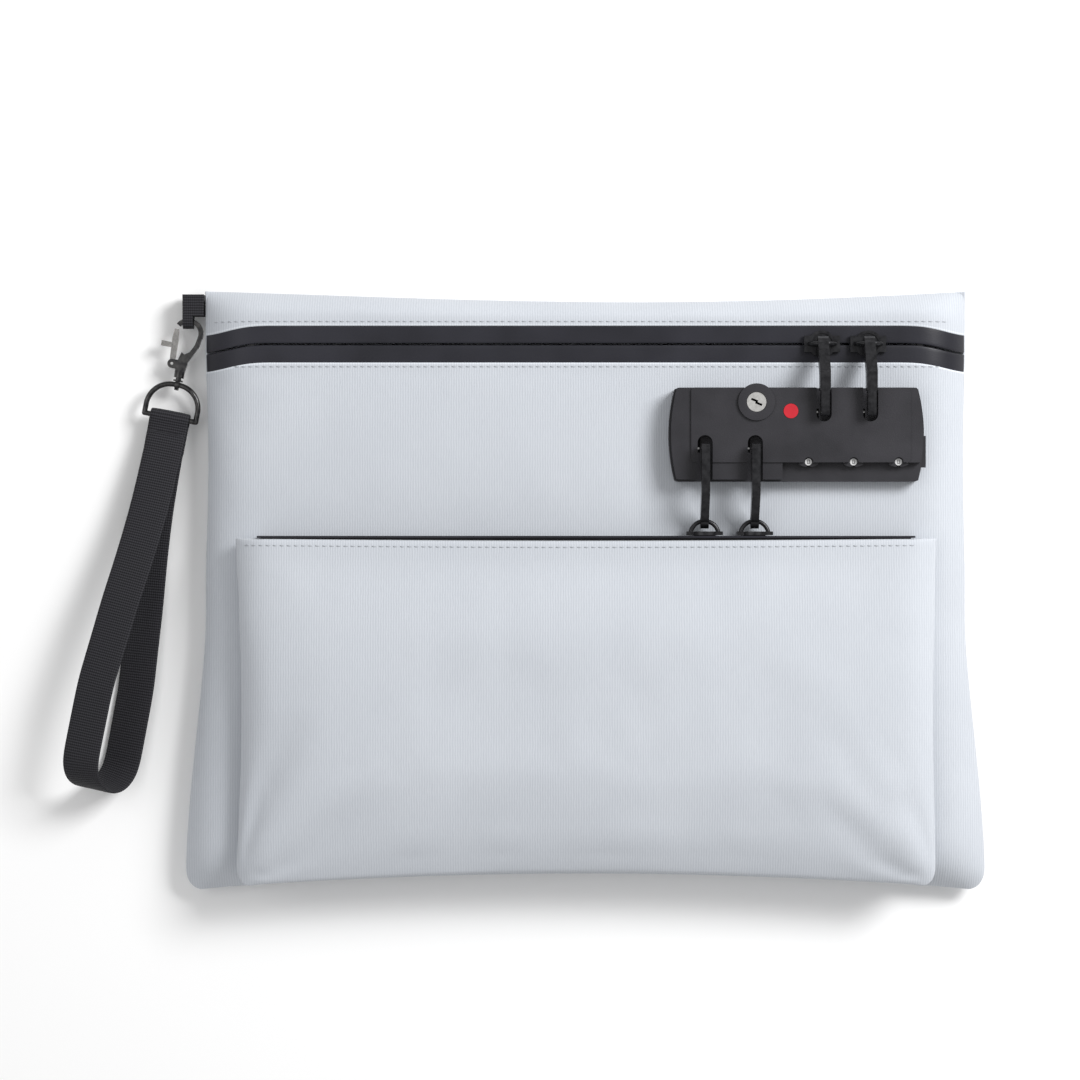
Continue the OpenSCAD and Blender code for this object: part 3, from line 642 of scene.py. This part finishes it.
# ------------------------------------------------------------------ wrist strap
CHAIN_AT = (-165.7, 113.0, 6.0)
CHAIN_TURN = math.radians(-10.9)
STRAP_W, STRAP_T = 16.0, 1.5
STRAP_START, STRAP_END, TURN_R = 47.0, 199.0, 13.0
LOOP_HALF = [(47, 1.5), (80, 4.5), (120, 10), (155, 13), (186, 13)]
LOOP_TWIST = [(47, 0), (75, 2), (120, 10), (155, 15), (199, 16)]
LOOP_LEAN = [(47, 0), (75, 6), (120, 24), (155, 33), (199, 35)]
LOOP_HEIGHT = [(47, 0), (80, 2.2), (120, 5.4), (155, 7.6), (199, 7.8)]


def on_chain(x, down, z):
    """From the strap's own line, down from the hook, to the bag's frame."""
    c, s = math.cos(CHAIN_TURN), math.sin(CHAIN_TURN)
    return Vector((CHAIN_AT[0] + x * c + down * s, CHAIN_AT[1] + x * s - down * c, CHAIN_AT[2] + z))


def between(table, at):
    if at <= table[0][0]:
        return table[0][1]
    for (a, low), (b, high) in zip(table, table[1:]):
        if at <= b:
            return low + (high - low) * (at - a) / (b - a)
    return table[-1][1]


def strap_line():
    """Centre and across direction of the webbing, down one strand, round the end and back."""
    strands, turn = 40, 18
    turn_at = STRAP_END - TURN_R
    places = [(STRAP_START + (turn_at - STRAP_START) * k / strands, 1) for k in range(strands + 1)]
    stations = [(d, between(LOOP_HALF, d)) for d, _ in places]
    for k in range(1, turn):
        a = math.pi / 2 - math.pi * k / turn
        stations.append((turn_at + TURN_R * math.cos(a), TURN_R * math.sin(a)))
    stations += [(d, -between(LOOP_HALF, d)) for d, _ in reversed(places)]
    line = []
    for down, off in stations:
        twist = math.radians(between(LOOP_TWIST, down))
        lean = math.radians(between(LOOP_LEAN, down))
        centre = on_chain(-math.sin(lean) * off, down, math.cos(lean) * off + between(LOOP_HEIGHT, down))
        wide = on_chain(math.cos(twist), 0, math.sin(twist)) - on_chain(0, 0, 0)
        line.append((centre, wide))
    return line


def smooth_line(line, rounds=3):
    for _ in range(rounds):
        inner = [((a[0] + b[0] * 2 + c[0]) / 4, ((a[1] + b[1] * 2 + c[1]) / 4).normalized())
                 for a, b, c in zip(line, line[1:], line[2:])]
        line = [line[0]] + inner + [line[-1]]
    return line


EDGE = [(-0.5, -0.16), (-0.47, -0.5), (0.47, -0.5), (0.5, -0.16),
        (0.5, 0.16), (0.47, 0.5), (-0.47, 0.5), (-0.5, 0.16)]


def sweep_band(line, width, thickness):
    """Rings of a flat band with soft edges, and UVs in millimetres."""
    verts, faces, uvs = [], [], []
    run = 0.0
    runs = []
    for i, (centre, wide) in enumerate(line):
        ahead = line[min(i + 1, len(line) - 1)][0] - line[max(i - 1, 0)][0]
        ahead.normalize()
        wide = (wide - ahead * wide.dot(ahead)).normalized()
        normal = ahead.cross(wide)
        if i:
            run += (centre - line[i - 1][0]).length
        runs.append(run)
        for w, t in EDGE:
            verts.append(list(centre + wide * w * width + normal * t * thickness))
    count = len(EDGE)
    for i in range(len(line) - 1):
        for k in range(count):
            a, b = i * count + k, i * count + (k + 1) % count
            faces.append([a, a + count, b + count, b])
            sides = (EDGE[k][0] * width, EDGE[(k + 1) % count][0] * width)
            uvs.append([(sides[0], runs[i]), (sides[0], runs[i + 1]), (sides[1], runs[i + 1]), (sides[1], runs[i])])
    last = (len(line) - 1) * count
    faces.append(list(range(count)))
    faces.append([last + k for k in reversed(range(count))])
    uvs += [[(0, 0)] * count] * 2
    return verts, faces, uvs, runs[-1]


def put_uvs(piece, uvs):
    layer = piece.data.uv_layers.new(name="UVMap")
    flat = [c for face in uvs for pair in face for c in pair]
    layer.data.foreach_set("uv", flat)


def make_strap():
    line = smooth_line(strap_line())
    verts, faces, uvs, run = sweep_band(line, STRAP_W, STRAP_T)
    strap = new_piece("strap_webbing", verts, faces, "webbing", "strap")
    put_uvs(strap, uvs)
    subdivide(strap)
    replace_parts(strap, "strap_loop")
    make_wrap()


def make_wrap():
    """The webbing's turn round the ring's bar, and the sewn block below it."""
    bar, inner = 41.5, 1.45
    middle = inner + STRAP_T / 2
    line = []
    for k in range(15):
        a = math.pi * k / 14
        centre = on_chain(0, bar - middle * math.sin(a), middle * math.cos(a))
        line.append((centre, on_chain(1, 0, 0) - on_chain(0, 0, 0)))
    across = line[0][1]
    tail = [(on_chain(0, bar + d, middle * (1 - 0.08 * d) if d < 4 else middle * 0.62), across)
            for d in (19, 14, 9, 4, 2)]
    back = [(on_chain(0, bar + d, -middle * (1 - 0.08 * d) if d < 4 else -middle * 0.62), across)
            for d in (2, 4, 9, 14, 19)]
    verts, faces, uvs, run = sweep_band(tail + line + back, STRAP_W + 0.6, STRAP_T)
    wrap = new_piece("strap_wrap", verts, faces, "webbing", "strap")
    put_uvs(wrap, uvs)
    subdivide(wrap)


# ------------------------------------------------------------------ dial numerals
NUMERAL_RING = 6.1        # from a dial's centre to its numerals
DISC_R = 1.45
# The bars of a plain numeral, as [x, y, width, height] in a cell one wide and two high
BARS = {"a": (0, 1, 1, 0), "b": (0.5, 0.5, 0, 1), "c": (0.5, -0.5, 0, 1), "d": (0, -1, 1, 0),
        "e": (-0.5, -0.5, 0, 1), "f": (-0.5, 0.5, 0, 1), "g": (0, 0, 1, 0)}
NUMERALS = ["abcdef", "bc", "abged", "abgcd", "fgbc", "afgcd", "afgedc", "abc", "abcdefg", "abfgcd"]


def flat_prism(verts, faces, outline, low, high):
    """Add an upright prism on a closed outline to a mesh being built."""
    first, n = len(verts), len(outline)
    verts.extend([x, y, low] for x, y in outline)
    verts.extend([x, y, high] for x, y in outline)
    faces.append([first + n + i for i in range(n)])
    faces.append([first + n - 1 - i for i in range(n)])
    for i in range(n):
        j = (i + 1) % n
        faces.append([first + i, first + j, first + n + j, first + n + i])


def turned(x, y, angle, centre):
    return (centre[0] + x * math.cos(angle) - y * math.sin(angle),
            centre[1] + x * math.sin(angle) + y * math.cos(angle))


def make_numerals(dial):
    """A pale disc with a plain numeral at each of a dial's ten places."""
    low, high = box_mm(dial)
    middle = ((low[0] + high[0]) / 2, (low[1] + high[1]) / 2)
    discs, disc_faces, marks, mark_faces = [], [], [], []
    for place, bars in enumerate(NUMERALS):
        angle = math.radians(36 * place)
        centre = turned(0, -NUMERAL_RING, angle, middle)
        rim = [turned(DISC_R * math.cos(t * math.pi / 12), DISC_R * math.sin(t * math.pi / 12), 0, centre)
               for t in range(24)]
        flat_prism(discs, disc_faces, rim, high[2] - 0.02, high[2] + 0.08)
        for bar in bars:
            x, y, wide, tall = BARS[bar]
            half_x, half_y = wide * 0.36 + 0.1, tall * 0.32 + 0.1
            corners = [(-half_x, -half_y), (half_x, -half_y), (half_x, half_y), (-half_x, half_y)]
            outline = [turned(x * 0.72 + a, y * 0.72 + b, angle, centre) for a, b in corners]
            flat_prism(marks, mark_faces, outline, high[2] + 0.06, high[2] + 0.12)
    for name, verts, faces, look, slot in ((dial + "_discs", discs, disc_faces, "disc", "steel"),
                                           (dial + "_numerals", marks, mark_faces, "lock_plastic", "lock_plastic")):
        made = new_piece(name, verts, faces, look, dial)
        made.data.polygons.foreach_set("use_smooth", [False] * len(made.data.polygons))


# ------------------------------------------------------------------ CAD nodes
def finish_nodes():
    """Give each node that stays visible its material, and break its hard edges."""
    for entry in frame["record"]["subparts"]:
        slot = entry["material_slot"]
        name = entry["node"]
        if name not in frame["nodes"] or slot not in NODE_LOOK:
            continue
        node = frame["nodes"][name]
        node.data.materials.clear()
        node.data.materials.append(MATS[OWN_LOOK.get(name, NODE_LOOK[slot])])
        if name in SOFT_EDGES:
            bevel = node.modifiers.new("edges", "BEVEL")
            bevel.width = SOFT_EDGES[name] * MM
            bevel.segments = 2
            bevel.limit_method = "ANGLE"
            bevel.angle_limit = math.radians(35)
            bevel.harden_normals = False


NODE_LOOK = {
    "cloth": "cloth", "lining": "lining", "zip_tape": "film", "zip_coil": "zip_coil", "zip_metal": "zip_metal",
    "steel": "steel", "lock_plastic": "lock_plastic", "red_lens": "red_lens", "gunmetal": "gunmetal",
    "bright_metal": "bright_metal", "webbing": "webbing",
}
OWN_LOOK = {"key_cylinder": "key_face", "side_tab": "tab_webbing"}
SOFT_EDGES = {
    "lock_cover": 0.35, "lock_base": 0.3, "key_collar": 0.3, "side_tab": 0.3, "clasp_hook": 0.35, "clasp_gate": 0.2,
    "main_pull_left": 0.5, "main_pull_right": 0.5, "pocket_pull_left": 0.4, "pocket_pull_right": 0.4,
    "main_slider_left": 0.25, "main_slider_right": 0.25, "pocket_slider_left": 0.25, "pocket_slider_right": 0.25,
    "dial_1": 0.2, "dial_2": 0.2, "dial_3": 0.2, "clasp_swivel": 0.2, "release_button": 0.3,
}


# ------------------------------------------------------------------ setting
def make_floor():
    mesh = bpy.data.meshes.new("floor")
    size = 3.0
    mesh.from_pydata([(-size, -size, -0.0006), (size, -size, -0.0006), (size, size, -0.0006), (-size, size, -0.0006)],
                     [], [(0, 1, 2, 3)])
    floor = bpy.data.objects.new("floor", mesh)
    bpy.context.scene.collection.objects.link(floor)
    look = Nodes("floor", rough=0.9, specular=0.1)
    look.colour(look.ramp(look.noise(look.mapped((1, 1, 1)), 3), (0.9, 0.9, 0.9), (0.93, 0.93, 0.93)))
    mesh.materials.append(look.material)


def area_light(name, place, size, power, tint=(1, 1, 1)):
    data = bpy.data.lights.new(name, "AREA")
    data.energy = power
    data.size = size
    data.color = tint
    lamp = bpy.data.objects.new(name, data)
    lamp.location = place
    lamp.rotation_euler = Vector(place).to_track_quat("Z", "Y").to_euler()
    bpy.context.scene.collection.objects.link(lamp)


def make_light():
    world = bpy.data.worlds.new("studio")
    bpy.context.scene.world = world
    world.use_nodes = True
    background = world.node_tree.nodes["Background"]
    background.inputs["Color"].default_value = (1, 1, 1, 1)
    background.inputs["Strength"].default_value = 0.5
    area_light("key", (0.95, 0.7, 1.0), 0.6, 24)
    area_light("fill", (-0.9, 0.2, 1.4), 1.2, 5)
    bpy.context.scene.view_settings.view_transform = "Standard"


VIEW_CENTRE = (-0.0189, 0.021)
VIEW_HEIGHT = 1.3
VIEW_WIDTH = 0.4536
SENSOR = 36.0


def make_camera():
    data = bpy.data.cameras.new("camera")
    data.sensor_width = SENSOR
    data.lens = SENSOR * VIEW_HEIGHT / VIEW_WIDTH
    camera = bpy.data.objects.new("camera", data)
    camera.location = (*VIEW_CENTRE, VIEW_HEIGHT)
    bpy.context.scene.collection.objects.link(camera)
    bpy.context.scene.camera = camera


make_camera()
make_floor()
make_light()
bag_pieces = make_bag()
pocket_piece = make_pocket()
make_stitching(bag_pieces, pocket_piece)
make_strap()
for dial in ("dial_1", "dial_2", "dial_3"):
    make_numerals(dial)
finish_nodes()
